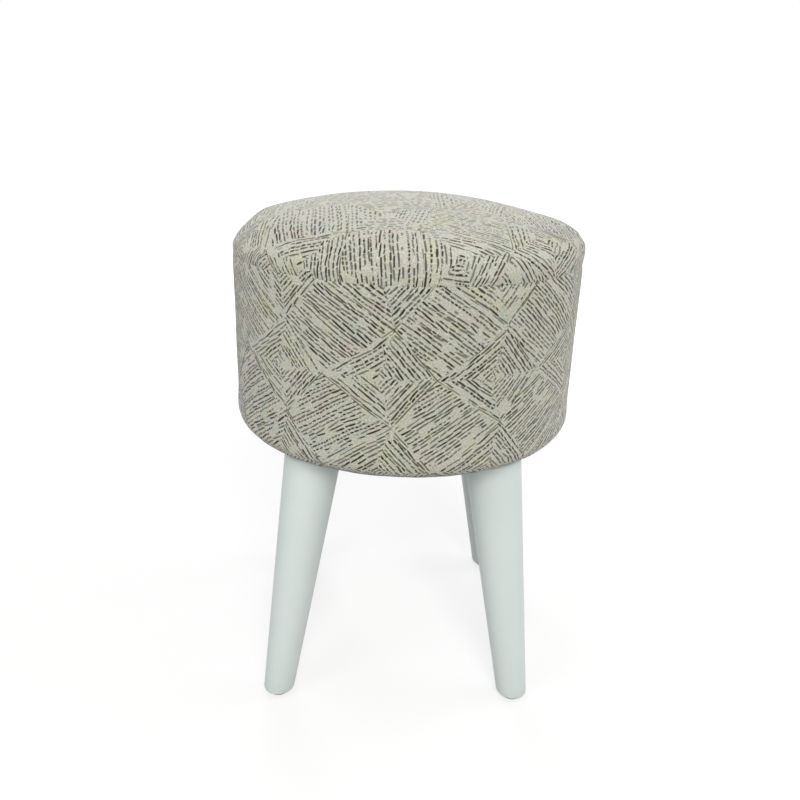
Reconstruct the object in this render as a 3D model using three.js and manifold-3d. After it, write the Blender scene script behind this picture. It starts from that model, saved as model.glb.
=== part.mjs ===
// A round vanity stool: a cloth-covered drum with a crowned seat, on four splayed, tapered legs.
// Millimetres, +Z up. The origin is on the floor under the middle of the seat, and the front faces -Y.

import * as THREE from 'three';
import { mergeVertices } from 'three/addons/utils/BufferGeometryUtils.js';
import Module from 'manifold-3d';

const wasm = await Module();
wasm.setup();

// Overall sizes
const stoolHeight = 450;
const seatDiameter = 308;
const seatUnderside = 243;
const splayDegrees = 11;

// Outline of the padded drum. The crown runs into the rounded shoulder at this slope.
const shoulderRadius = 34.5;
const hemRadius = 16;
const crownEdgeDegrees = 16;

// The seam draws the cover in by this much, and the band is full again this far below it
const seamDraw = 1.2;
const seamBlend = 8;

// Cloth and foam
const clothThickness = 1.2;
const hemWidth = 20;
const dustCoverThickness = 0.8;
const dustCoverMargin = 8;
const sideFoamThickness = 12;
const seatFoamThickness = 60;

// Wooden cage: two plywood discs, four posts and a bent hardboard wall
const skinThickness = 3;
const baseBoardThickness = 15;
const topBoardThickness = 12;
const postWidth = 32;
const postChamfer = 2;
const frameScrewDiameter = 4.5;
const frameScrewHeadDiameter = 9;
const frameScrewHeadHeight = 3.5;
const frameScrewLength = 45;
const frameScrewTip = 5;

// Legs and their glides
const legHeadDiameter = 50;
const legFootDiameter = 28;
const legHeadRounding = 3;
const footRounding = 3.5;
const glideDiameter = 20;
const glideThickness = 3;
const glideRounding = 1;
const nailDiameter = 2.4;
const nailLength = 14;
const nailTip = 3;

// Angled leg plates with their bolts and screws
const plateWidth = 54;
const plateThickness = 2;
const plateCornerRadius = 7;
const plateHoleMargin = 6;
const plateEdgeMargin = 0.5;
const bossDiameter = 36;
const bossWall = 2;
const sleeveDiameter = 13;
const hangerBoltDiameter = 8;
const boltInLeg = 32;
const boltAboveLeg = 20;
const boltChamfer = 1;
const plateScrewDiameter = 4;
const plateScrewHeadDiameter = 8;
const plateScrewHeadHeight = 2.4;
const plateScrewHeadroom = 0.8;
const plateScrewLength = 16;
const plateScrewTip = 4;

// Space left between pieces that touch, and how far a cut runs past what it cuts
const gap = 0.3;
const overrun = 10;

// Facets
const drumSides = 48;
const legSides = 32;
const bossSides = 20;
const glideSides = 20;
const boltSides = 16;
const screwSides = 8;
const crownSteps = 5;
const shoulderSteps = 6;
const hemSteps = 5;
const roundingSteps = 3;
const quarterTurn = Math.PI / 2;

// Heights and radii of the drum, worked out from the outside in
const seatRadius = seatDiameter / 2;
const crownEdgeSlope = THREE.MathUtils.degToRad(crownEdgeDegrees);
const shoulderCentreRadius = seatRadius - shoulderRadius;
const crownRadius = shoulderCentreRadius + shoulderRadius * Math.sin(crownEdgeSlope);
const crownRise = Math.tan(crownEdgeSlope) * crownRadius / 2;
const seamHeight = stoolHeight - crownRise - shoulderRadius * Math.cos(crownEdgeSlope);
const hemFlatRadius = seatRadius - hemRadius;
const hemInnerRadius = hemFlatRadius - hemWidth;
const paddingInset = clothThickness + gap;
const foamInnerRadius = seatRadius - paddingInset - sideFoamThickness;
const skinOuterRadius = foamInnerRadius - gap;
const skinInnerRadius = skinOuterRadius - skinThickness;
const boardRadius = skinInnerRadius - gap;
const seatFoamBottom = stoolHeight - paddingInset - seatFoamThickness;
const topBoardTop = seatFoamBottom - gap;
const topBoardBottom = topBoardTop - topBoardThickness;
const baseBoardBottom = seatUnderside + paddingInset;
const baseBoardTop = baseBoardBottom + baseBoardThickness;
const dustCoverTop = seatUnderside - gap;
const dustCoverBottom = dustCoverTop - dustCoverThickness;
const dustCoverRadius = hemFlatRadius - dustCoverMargin;
const postReach = Math.sqrt(boardRadius ** 2 - (postWidth / 2) ** 2) - postWidth / 2;

// Heights and reaches of the corner pieces. Reach is the distance out from the stool's upright axis.
const splay = THREE.MathUtils.degToRad(splayDegrees);
const plateTop = dustCoverBottom - gap;
const plateBottom = plateTop - plateThickness;
const plateReach = hemFlatRadius - plateEdgeMargin - plateWidth / 2;
const footReach = plateReach + plateBottom * Math.tan(splay);
const bossLeastDepth = plateScrewHeadHeight + plateScrewHeadroom;
const legHeadRadius = legHeadDiameter / 2;
const legFootRadius = legFootDiameter / 2;
const legHeadHeight = plateBottom - bossLeastDepth - legHeadRadius * Math.sin(splay);
const legHeadReach = footReach - legHeadHeight * Math.tan(splay);
const footCutHeight = glideThickness + gap;
const footCutReach = footReach - footCutHeight * Math.tan(splay);
const legLength = (legHeadHeight - footCutHeight) / Math.cos(splay);
const legTaper = (legHeadRadius - legFootRadius) / legLength;
const boltRadius = hangerBoltDiameter / 2;
const boltHoleRadius = boltRadius + gap;

// Colours and finishes
const clothPaint = { color: '#c9c6b4', roughness: 0.95, metalness: 0 };
const foamPaint = { color: '#e8dfb8', roughness: 1, metalness: 0 };
const plywoodPaint = { color: '#c9a677', roughness: 0.8, metalness: 0 };
const timberPaint = { color: '#d3b384', roughness: 0.8, metalness: 0 };
const hardboardPaint = { color: '#7a5a3c', roughness: 0.85, metalness: 0 };
const dustClothPaint = { color: '#232323', roughness: 1, metalness: 0 };
const legPaint = { color: '#dbe3e0', roughness: 0.4, metalness: 0 };
const steelPaint = { color: '#a9abad', roughness: 0.4, metalness: 1 };
const glidePaint = { color: '#3a3b3a', roughness: 0.6, metalness: 0 };

// Welds a closed geometry at its shared corners and makes it a solid that can be cut and joined
function solid(geometry) {
  const bare = geometry.clone();
  bare.deleteAttribute('normal');
  bare.deleteAttribute('uv');
  const welded = mergeVertices(bare);
  const corners = welded.index.array;
  const triangles = [];
  for (let i = 0; i < corners.length; i += 3) {
    const [a, b, c] = corners.slice(i, i + 3);
    const hasArea = a !== b && b !== c && c !== a;
    if (hasArea) triangles.push(a, b, c);
  }
  return new wasm.Manifold(new wasm.Mesh({
    numProp: 3,
    vertProperties: new Float32Array(welded.attributes.position.array),
    triVerts: new Uint32Array(triangles),
  }));
}

// Hangs a solid in a group as one named piece of the stool
function addPiece(group, name, form, paint) {
  const faces = form.getMesh();
  const geometry = new THREE.BufferGeometry();
  geometry.setAttribute('position', new THREE.BufferAttribute(faces.vertProperties, 3));
  geometry.setIndex(new THREE.BufferAttribute(faces.triVerts, 1));
  geometry.computeVertexNormals();
  const mesh = new THREE.Mesh(geometry, new THREE.MeshStandardMaterial(paint));
  mesh.name = name;
  group.add(mesh);
}

// Turns an outline of [radius, height] points about the upright axis. It starts and ends on the axis,
// or closes on itself, and runs outwards along the underside and back in along the top.
function turned(outline, sides) {
  const points = outline.map(([radius, height]) => new THREE.Vector2(radius, height));
  return new THREE.LatheGeometry(points, sides).rotateX(quarterTurn);
}

// A round bar on the upright axis, from one height to another
function bar(radius, bottom, top, sides) {
  return turned([[0, bottom], [radius, bottom], [radius, top], [0, top]], sides);
}

// Points of an arc, with angles measured from the outward direction towards the upward one
function arc(centreRadius, centreHeight, radius, from, to, steps) {
  const points = [];
  for (let i = 0; i <= steps; i += 1) {
    const angle = from + (to - from) * i / steps;
    points.push([centreRadius + radius * Math.cos(angle), centreHeight + radius * Math.sin(angle)]);
  }
  return points;
}

// The crown and the shoulder, from the middle of the seat out and down to the seam, set in by `inset`.
// The crown is a parabola, and each of its points moves in along the surface's own normal.
function crownOutline(inset) {
  const points = [];
  for (let i = 0; i < crownSteps; i += 1) {
    const radius = crownRadius * i / crownSteps;
    const height = stoolHeight - crownRise * (radius / crownRadius) ** 2;
    const slope = Math.atan(2 * crownRise * radius / crownRadius ** 2);
    points.push([radius - inset * Math.sin(slope), height - inset * Math.cos(slope)]);
  }
  const shoulderTop = quarterTurn - crownEdgeSlope;
  const shoulder = arc(
    shoulderCentreRadius, seamHeight, shoulderRadius - inset, shoulderTop, 0, shoulderSteps,
  );
  shoulder[shoulderSteps][0] -= seamDraw;
  return points.concat(shoulder);
}

// Where the side is full again below the seam, set in by `inset`
function sideTop(inset) {
  return [seatRadius - inset, seamHeight - seamBlend];
}

// The rounded lower edge, from the side round to the flat underside, set in by `inset`
function hemOutline(inset) {
  return arc(hemFlatRadius, seatUnderside + hemRadius, hemRadius - inset, 0, -quarterTurn, hemSteps);
}

// Everything inside the cover: the room that the padding and the cage have
function coverInside() {
  const outline = [
    [0, seatUnderside + paddingInset],
    ...hemOutline(paddingInset).reverse(),
    sideTop(paddingInset),
    ...crownOutline(paddingInset).reverse(),
  ];
  return solid(turned(outline, drumSides));
}

// A screw with a countersunk head, head down and tip up, its head's flat face at height zero.
// `grow` makes it the hole for the same screw.
function frameScrew(grow) {
  const shank = frameScrewDiameter / 2 + grow;
  const head = frameScrewHeadDiameter / 2 + grow;
  return turned([
    [0, -grow],
    [head, -grow],
    [head, 0],
    [shank, frameScrewHeadHeight],
    [shank, frameScrewLength - frameScrewTip],
    [0, frameScrewLength + grow],
  ], screwSides);
}

// A pan-head screw, head down and tip up, the underside of its head at height zero
function plateScrew() {
  const shank = plateScrewDiameter / 2;
  const head = plateScrewHeadDiameter / 2;
  return turned([
    [0, -plateScrewHeadHeight],
    [shank, -plateScrewHeadHeight],
    [head, -plateScrewHeadHeight / 2],
    [head, 0],
    [shank, 0],
    [shank, plateScrewLength - plateScrewTip],
    [0, plateScrewLength],
  ], screwSides);
}

// Moves a shape made along the leg's own axis, with the leg's head at height zero, to its place in a corner
function onLegAxis(geometry) {
  return geometry.rotateY(-splay).translate(legHeadReach, 0, legHeadHeight);
}

// The four screw places of a leg plate, as [out, across] from the stool's upright axis
function plateScrewPlaces() {
  const half = plateWidth / 2 - plateHoleMargin;
  return [[1, 1], [-1, 1], [-1, -1], [1, -1]].map(([out, across]) => [plateReach + out * half, across * half]);
}

// The hole through everything above a leg plate for its bolt
function boltHole() {
  const reach = boltAboveLeg + overrun;
  return onLegAxis(bar(boltHoleRadius, 0, reach, boltSides));
}

// The hole for one plate screw, with its tip's end
function plateScrewHole([out, across]) {
  const hole = bar(plateScrewDiameter / 2 + gap, plateBottom - overrun, plateBottom + plateScrewLength, screwSides);
  return hole.translate(out, across, 0);
}

// A square with rounded corners, centred on the leg plate's place
function plateOutline() {
  const half = plateWidth / 2;
  const straight = half - plateCornerRadius;
  const shape = new THREE.Shape();
  for (let side = 0; side < 4; side += 1) {
    const turn = side * quarterTurn;
    const centre = new THREE.Vector2(straight, straight).rotateAround(new THREE.Vector2(), turn);
    shape.absarc(plateReach + centre.x, centre.y, plateCornerRadius, turn, turn + quarterTurn, false);
  }
  shape.closePath();
  return shape;
}

// A pressed steel plate with a hollow, tilted boss that faces the leg's head, and a threaded sleeve in it
function legPlate() {
  const facets = { depth: plateThickness, bevelEnabled: false, curveSegments: roundingSteps };
  const flange = solid(new THREE.ExtrudeGeometry(plateOutline(), facets).translate(0, 0, plateBottom));
  const reach = legHeadRadius + overrun;
  const boss = solid(onLegAxis(bar(bossDiameter / 2, gap, reach, bossSides)));
  const hollow = solid(onLegAxis(bar(bossDiameter / 2 - bossWall, gap + bossWall, reach, bossSides)));
  const sleeve = solid(onLegAxis(bar(sleeveDiameter / 2, gap, reach, boltSides)));
  const bore = solid(onLegAxis(bar(boltHoleRadius, -overrun, reach + overrun, boltSides)));
  const below = solid(new THREE.BoxGeometry(plateWidth, plateWidth, plateWidth)
    .translate(plateReach, 0, plateTop - plateWidth / 2));
  let plate = flange.add(boss.intersect(below)).subtract(hollow).add(sleeve.intersect(below)).subtract(bore);
  for (const place of plateScrewPlaces()) plate = plate.subtract(solid(plateScrewHole(place)));
  return plate;
}

// A round tapered leg with a rounded head, its foot cut level and rounded, bored for its bolt and nail
function leg() {
  const tailRadius = legFootRadius - legTaper * overrun;
  const shoulder = arc(
    legHeadRadius - legHeadRounding, -legHeadRounding, legHeadRounding, 0, quarterTurn, roundingSteps,
  );
  const tail = -legLength - overrun;
  const taper = solid(onLegAxis(turned([[0, tail], [tailRadius, tail], ...shoulder, [0, 0]], legSides)));
  const bend = footRounding;
  const flare = legHeadHeight * Math.tan(2 * splay);
  const cup = solid(turned([
    [0, footCutHeight],
    ...arc(legFootRadius - bend, footCutHeight + bend, bend, -quarterTurn, -splay, roundingSteps),
    [legFootRadius + flare, legHeadHeight + overrun],
    [0, legHeadHeight + overrun],
  ], legSides).translate(footCutReach, 0, 0));
  const boltBore = solid(onLegAxis(bar(boltHoleRadius, -boltInLeg - gap, overrun, boltSides)));
  const nailBore = solid(bar(nailDiameter / 2 + gap, 0, glideThickness + nailLength + gap, screwSides)
    .translate(footCutReach, 0, 0));
  return taper.intersect(cup).subtract(boltBore).subtract(nailBore);
}

// A steel bolt along the leg's axis, from inside the leg's head up into the base board
function hangerBolt() {
  const end = boltRadius - boltChamfer;
  return solid(onLegAxis(turned([
    [0, -boltInLeg],
    [end, -boltInLeg],
    [boltRadius, boltChamfer - boltInLeg],
    [boltRadius, boltAboveLeg - boltChamfer],
    [end, boltAboveLeg],
    [0, boltAboveLeg],
  ], boltSides)));
}

// A plastic glide with the nail that holds it to the foot
function footGlide() {
  const rim = glideDiameter / 2;
  const nail = nailDiameter / 2;
  const nailTop = glideThickness + nailLength;
  return solid(turned([
    [0, 0],
    [rim - glideRounding, 0],
    [rim, glideRounding],
    [rim, glideThickness],
    [nail, glideThickness],
    [nail, nailTop - nailTip],
    [0, nailTop],
  ], glideSides).translate(footCutReach, 0, 0));
}

// A timber post with planed corners, standing on the base board at a given reach
function post() {
  const half = postWidth / 2;
  const flat = half - postChamfer;
  const middle = new THREE.Vector2();
  const section = [];
  for (let side = 0; side < 4; side += 1) {
    section.push(new THREE.Vector2(half, flat).rotateAround(middle, side * quarterTurn));
    section.push(new THREE.Vector2(flat, half).rotateAround(middle, side * quarterTurn));
  }
  const bottom = baseBoardTop + gap;
  const depth = topBoardBottom - gap - bottom;
  const batten = new THREE.ExtrudeGeometry(new THREE.Shape(section), { depth, bevelEnabled: false });
  return solid(batten.translate(postReach, 0, bottom));
}

// The lower frame screw comes up through the base board, and the upper one down through the top board
function lowerFrameScrew(grow) {
  return frameScrew(grow).translate(postReach, 0, baseBoardBottom);
}

function upperFrameScrew(grow) {
  return frameScrew(grow).rotateX(2 * quarterTurn).translate(postReach, 0, topBoardTop);
}

// Four like things stand a quarter turn apart: posts at the front, back and sides, and legs at the corners
const postNames = ['right', 'back', 'left', 'front'];
const cornerNames = ['front_right', 'back_right', 'back_left', 'front_left'];
const postAngle = (index) => index * quarterTurn;
const cornerAngle = (index) => (index - 1 / 2) * quarterTurn;

const padding = coverInside();
const bareBase = padding.intersect(solid(bar(boardRadius, baseBoardBottom, baseBoardTop, drumSides)));
let baseBoard = bareBase;
let topBoard = solid(bar(boardRadius, topBoardBottom, topBoardTop, drumSides));
let dustCover = solid(bar(dustCoverRadius, dustCoverBottom, dustCoverTop, drumSides));

const bandTop = seamHeight - gap;
let sideBand = solid(turned([
  [hemInnerRadius, seatUnderside],
  ...hemOutline(0).reverse(),
  sideTop(0),
  [seatRadius - seamDraw, bandTop],
  [seatRadius - seamDraw - clothThickness, bandTop],
  sideTop(clothThickness),
  ...hemOutline(clothThickness),
  [hemInnerRadius, seatUnderside + clothThickness],
  [hemInnerRadius, seatUnderside],
], drumSides));

const seatCover = solid(turned([...crownOutline(clothThickness), ...crownOutline(0).reverse()], drumSides));
const seatFoam = solid(turned([
  [0, seatFoamBottom],
  [seatRadius - paddingInset, seatFoamBottom],
  sideTop(paddingInset),
  ...crownOutline(paddingInset).reverse(),
], drumSides));
const sideFoam = padding
  .intersect(solid(bar(seatRadius, seatUnderside, topBoardTop, drumSides)))
  .subtract(solid(bar(foamInnerRadius, seatUnderside - overrun, stoolHeight, drumSides)));
const drumSkin = padding
  .intersect(solid(bar(skinOuterRadius, seatUnderside, topBoardTop, drumSides)))
  .subtract(solid(bar(skinInnerRadius, seatUnderside - overrun, stoolHeight, drumSides)));

const stool = new THREE.Group();

postNames.forEach((name, index) => {
  const angle = postAngle(index);
  const side = new THREE.Group();
  side.rotation.z = angle;
  const screwHoles = solid(lowerFrameScrew(gap)).add(solid(upperFrameScrew(gap)));
  addPiece(side, `post_${name}`, post().subtract(screwHoles), timberPaint);
  addPiece(side, `frame_screw_base_${name}`, solid(lowerFrameScrew(0)), steelPaint);
  addPiece(side, `frame_screw_top_${name}`, solid(upperFrameScrew(0)), steelPaint);
  baseBoard = baseBoard.subtract(solid(lowerFrameScrew(gap).rotateZ(angle)));
  topBoard = topBoard.subtract(solid(upperFrameScrew(gap).rotateZ(angle)));
  stool.add(side);
});

cornerNames.forEach((name, index) => {
  const angle = cornerAngle(index);
  const corner = new THREE.Group();
  corner.rotation.z = angle;
  addPiece(corner, `leg_${name}`, leg(), legPaint);
  addPiece(corner, `leg_plate_${name}`, legPlate(), steelPaint);
  addPiece(corner, `hanger_bolt_${name}`, hangerBolt(), steelPaint);
  addPiece(corner, `foot_glide_${name}`, footGlide(), glidePaint);
  const boltCut = solid(boltHole().rotateZ(angle));
  baseBoard = baseBoard.subtract(boltCut);
  dustCover = dustCover.subtract(boltCut);
  sideBand = sideBand.subtract(boltCut);
  plateScrewPlaces().forEach((place, number) => {
    const screw = plateScrew().translate(place[0], place[1], plateBottom);
    addPiece(corner, `plate_screw_${name}_${number + 1}`, solid(screw), steelPaint);
    const screwCut = solid(plateScrewHole(place).rotateZ(angle));
    baseBoard = baseBoard.subtract(screwCut);
    dustCover = dustCover.subtract(screwCut);
    sideBand = sideBand.subtract(screwCut);
  });
  stool.add(corner);
});

addPiece(stool, 'base_board', baseBoard, plywoodPaint);
addPiece(stool, 'top_board', topBoard, plywoodPaint);
addPiece(stool, 'drum_skin', drumSkin, hardboardPaint);
addPiece(stool, 'side_foam', sideFoam, foamPaint);
addPiece(stool, 'seat_foam', seatFoam, foamPaint);
addPiece(stool, 'seat_cover', seatCover, clothPaint);
addPiece(stool, 'side_band', sideBand, clothPaint);
addPiece(stool, 'dust_cover', dustCover, dustClothPaint);

export default stool;
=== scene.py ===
"""The finished look of a round vanity stool: a padded drum in printed cloth on four splayed, painted legs.

Every length is in metres, +Z is up, the origin is on the floor under the middle of the seat, and the front
faces -Y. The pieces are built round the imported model's own places."""

import math
from functools import partial

import bpy
import numpy as np
from mathutils import Matrix, Vector


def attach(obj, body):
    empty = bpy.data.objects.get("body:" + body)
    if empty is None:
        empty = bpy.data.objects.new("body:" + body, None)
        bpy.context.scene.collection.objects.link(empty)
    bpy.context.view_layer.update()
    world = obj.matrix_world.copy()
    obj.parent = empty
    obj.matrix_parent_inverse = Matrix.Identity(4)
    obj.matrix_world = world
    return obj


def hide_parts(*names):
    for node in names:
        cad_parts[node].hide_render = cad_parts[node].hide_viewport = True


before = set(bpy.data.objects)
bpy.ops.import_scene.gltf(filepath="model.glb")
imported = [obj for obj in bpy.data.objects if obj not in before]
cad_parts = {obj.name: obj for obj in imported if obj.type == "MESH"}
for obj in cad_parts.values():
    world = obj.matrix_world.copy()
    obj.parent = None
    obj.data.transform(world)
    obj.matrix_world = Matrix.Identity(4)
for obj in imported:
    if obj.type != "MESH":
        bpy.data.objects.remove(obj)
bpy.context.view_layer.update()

MM = 0.001
SEED = 20

# The drum's outline
SEAT_HEIGHT = 450 * MM
SEAT_RADIUS = 154 * MM
SEAT_UNDERSIDE = 243 * MM
SHOULDER_RADIUS = 34.5 * MM
HEM_RADIUS = 16 * MM
HEM_WIDTH = 20 * MM
CROWN_EDGE = math.radians(16)
SHOULDER_CENTRE = SEAT_RADIUS - SHOULDER_RADIUS
CROWN_RADIUS = SHOULDER_CENTRE + SHOULDER_RADIUS * math.sin(CROWN_EDGE)
CROWN_RISE = math.tan(CROWN_EDGE) * CROWN_RADIUS / 2
SEAM_HEIGHT = SEAT_HEIGHT - CROWN_RISE - SHOULDER_RADIUS * math.cos(CROWN_EDGE)
HEM_FLAT_RADIUS = SEAT_RADIUS - HEM_RADIUS

# The seam: how far it draws the side in, over what height, how round the turned edges are, what is sewn in,
# within what length past a turned edge the puckers are gone, and where beside it the cloth is finely divided
SEAM_DRAW = 0.9 * MM
SEAM_BLEND = 5 * MM
SEAM_ROLL = 0.9 * MM
SEAM_GAP = 0.05 * MM
SEAM_ALLOWANCE = 8 * MM
SEAM_EASE = 2 * MM
SEAM_FINE = 12 * MM

# How much of the simulated folds is kept, and how far one may stand out or in
FOLD_SHARE = 0.5
FOLD_LIMIT = 0.9 * MM

# Layers, from the outside in
CLOTH = 1.2 * MM
CLEAR = 0.3 * MM
WADDING = 12 * MM
BASE_BOARD_BOTTOM = SEAT_UNDERSIDE + CLOTH + CLEAR
CUSHION_BOTTOM = 388.5 * MM
WADDING_TOP = CUSHION_BOTTOM - CLEAR

# Legs, in the frame of one corner: +X is outwards
SPLAY = math.radians(11)
LEG_HEAD_RADIUS = 25 * MM
LEG_FOOT_RADIUS = 14 * MM
LEG_HEAD_ROUNDING = 3 * MM
FOOT_ROUNDING = 2.6 * MM
GLIDE_THICKNESS = 3 * MM
FOOT_CUT = GLIDE_THICKNESS + CLEAR
PLATE_WIDTH = 54 * MM
PLATE_THICKNESS = 2 * MM
PLATE_CORNER = 7 * MM
PLATE_BOTTOM = 239.6 * MM
PLATE_REACH = HEM_FLAT_RADIUS - 0.5 * MM - PLATE_WIDTH / 2
BOSS_DEPTH = 3.2 * MM
FOOT_REACH = PLATE_REACH + PLATE_BOTTOM * math.tan(SPLAY)
LEG_HEAD_HEIGHT = PLATE_BOTTOM - BOSS_DEPTH - LEG_HEAD_RADIUS * math.sin(SPLAY)
LEG_HEAD_REACH = FOOT_REACH - LEG_HEAD_HEIGHT * math.tan(SPLAY)
FOOT_CUT_REACH = FOOT_REACH - FOOT_CUT * math.tan(SPLAY)

# The dust cloth under the base
DUST_CLOTH = 0.8 * MM
DUST_CLOTH_TOP = SEAT_UNDERSIDE - CLEAR

# The print's diamonds: their width and height, and how far their upper and lower corners stand to one side.
# On the top piece the cloth is turned and pulled until they are as high as they are wide. Then where the
# middle of one nested diamond lies on the top piece and on the band.
DIAMOND_WIDE = 88 * MM
DIAMOND_HIGH = 76 * MM
DIAMOND_SWAY = 11 * MM
TOP_PRINT_TURN = math.radians(-50)
TOP_RING_PLACE = (34 * MM, -153 * MM)
BAND_RING_HEIGHT = 328.5 * MM
BAND_RING_ANGLE = math.radians(-8.6)

# One diamond in millimetres: from side to opposite side, and along a side
CELL_ACROSS = 1 / math.hypot(1 / DIAMOND_WIDE, 1 / DIAMOND_HIGH) / MM
CELL_ALONG = math.hypot(DIAMOND_WIDE, DIAMOND_HIGH) / 2 / MM

# The print's lines, in millimetres: from line to line, half a long line's width, and the ink's soft edge.
# Then between what heights the print changes to the crown's: shorter, more even dashes, and paler ink, which
# is painted sheen
LINE_PITCH = 3.05
EDGE_LINE_HALF = 0.38
INK_EDGE = 0.38
CROWN_PRINT_LOW = SEAT_HEIGHT - 24 * MM
CROWN_PRINT_HIGH = SEAT_HEIGHT - 14 * MM

CORNERS = {
    name: math.radians(degrees)
    for name, degrees in {"front_right": -45, "back_right": 45, "back_left": 135, "front_left": 225}.items()
}
SIDES = ["right", "back", "left", "front"]
PADDING_SIDES = 192


# Camera, placed by the drum's outline, the seam and the four feet in the photograph

def photo_camera():
    """A camera at the photograph's place: turned by yaw, tipped down by pitch, then rolled."""
    eye = (-0.018, -0.6624, 0.5066)
    yaw, pitch, roll = 0.0229, 0.3638, 0.0354
    sensor, focal_pixels, picture_pixels = 36, 728.4, 800
    ahead = np.array([math.sin(yaw) * math.cos(pitch), math.cos(yaw) * math.cos(pitch), -math.sin(pitch)])
    level = np.array([math.cos(yaw), -math.sin(yaw), 0])
    upward = np.cross(level, ahead)
    right = math.cos(roll) * level + math.sin(roll) * upward
    up = math.cos(roll) * upward - math.sin(roll) * level
    data = bpy.data.cameras.new("photo_camera")
    data.sensor_fit = "HORIZONTAL"
    data.sensor_width = sensor
    data.lens = sensor * focal_pixels / picture_pixels
    data.clip_start, data.clip_end = 0.01, 50
    camera = bpy.data.objects.new("photo_camera", data)
    turned = Matrix(np.column_stack([right, up, -ahead]).tolist()).to_4x4()
    camera.matrix_world = Matrix.Translation(eye) @ turned
    bpy.context.scene.collection.objects.link(camera)
    bpy.context.scene.camera = camera


photo_camera()


# Nodes and colours

def add(tree, kind, feeds=(), operation=None, out=0, **settings):
    """Adds one shader node with its settings, feeds its inputs by place or name, and returns an output.

    A Map Range is fed by place: the value, the range that it comes from, and the range that it goes to."""
    node = tree.nodes.new("ShaderNode" + kind)
    if operation:
        node.operation = operation
    for name, value in settings.items():
        setattr(node, name, value)
    for key, feed in feeds.items() if isinstance(feeds, dict) else enumerate(feeds):
        if isinstance(feed, bpy.types.NodeSocket):
            tree.links.new(feed, node.inputs[key])
        else:
            node.inputs[key].default_value = feed
    return node.outputs[out] if node.outputs else None


def paint(code):
    """The linear colour of an sRGB colour written as six hex digits."""
    share = np.array([int(code[k:k + 2], 16) for k in (0, 2, 4)]) / 255
    linear = np.where(share <= 0.04045, share / 12.92, ((share + 0.055) / 1.055) ** 2.4)
    return (*linear.tolist(), 1.0)


def new_finish(name, sockets):
    """A material with its Principled shader's plain sockets set.

    Returns it with a maker of nodes in its tree, and the place of each point on the object."""
    finish = bpy.data.materials.new(name)
    finish.use_nodes = True
    for socket, value in sockets.items():
        finish.node_tree.nodes["Principled BSDF"].inputs[socket].default_value = value
    node = partial(add, finish.node_tree)
    return finish, node, node("TexCoord", out="Object")


def completed(finish, share, colours, relief, **feeds):
    """The material with its colour, its relief and other sockets' feeds linked to its shader.

    The colour lies a share of the way between two. The relief is a height, how deep it goes in metres and how
    strongly it shows. Other sockets are named with underscores for spaces."""
    node = partial(add, finish.node_tree)
    colour = node("Mix", {0: share, 6: colours[0], 7: colours[1]}, out=2, data_type="RGBA")
    height, depth, strength = relief
    bump = node("Bump", {"Height": height, "Distance": depth, "Strength": strength})
    shader = finish.node_tree.nodes["Principled BSDF"]
    for socket, feed in {"Base_Color": colour, "Normal": bump, **feeds}.items():
        finish.node_tree.links.new(feed, shader.inputs[socket.replace("_", " ")])
    return finish


def print_cells(node, mm):
    """The print's lattice of diamonds at each point of the cloth, as if by hand: its lines drift and tremble.

    Returns the drawn place, a second trembling number, and the two lattice coordinates. Each of these passes
    a whole number on one set of the diamonds' sides. The lattice sways, so that the upper and lower corners
    of a diamond with nested lines stand to the right of its middle."""
    drift_move, drift_length = 4.5, 45
    tremble_move, tremble_length = 0.5, 7
    drift = node("TexNoise", {"Vector": mm, "Scale": 1 / drift_length, "Detail": 1.0}, out="Color")
    tremble = node("TexNoise", {"Vector": mm, "Scale": 1 / tremble_length, "Detail": 1.5}, out="Color")
    back = -(drift_move + tremble_move) / 2
    centred = node("VectorMath", [mm, (back, back, 0)], "ADD")
    drifted = node("VectorMath", [drift, (drift_move, drift_move, 0), centred], "MULTIPLY_ADD")
    drawn = node("VectorMath", [tremble, (tremble_move, tremble_move, 0), drifted], "MULTIPLY_ADD")
    axes = node("SeparateXYZ", [drawn]).node.outputs
    climb = node("Math", [axes["Y"], DIAMOND_HIGH / MM / 2], "PINGPONG")
    swayed = node("Math", [climb, -2 * DIAMOND_SWAY / DIAMOND_HIGH, axes["X"]], "MULTIPLY_ADD")
    place = node("CombineXYZ", [swayed, axes["Y"]])
    falling, rising = [
        node("VectorMath", [place, (MM / DIAMOND_WIDE, MM / high, 0)], "DOT_PRODUCT", "Value")
        for high in (DIAMOND_HIGH, -DIAMOND_HIGH)
    ]
    return drawn, node("SeparateColor", [tremble], out="Blue"), falling, rising


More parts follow.
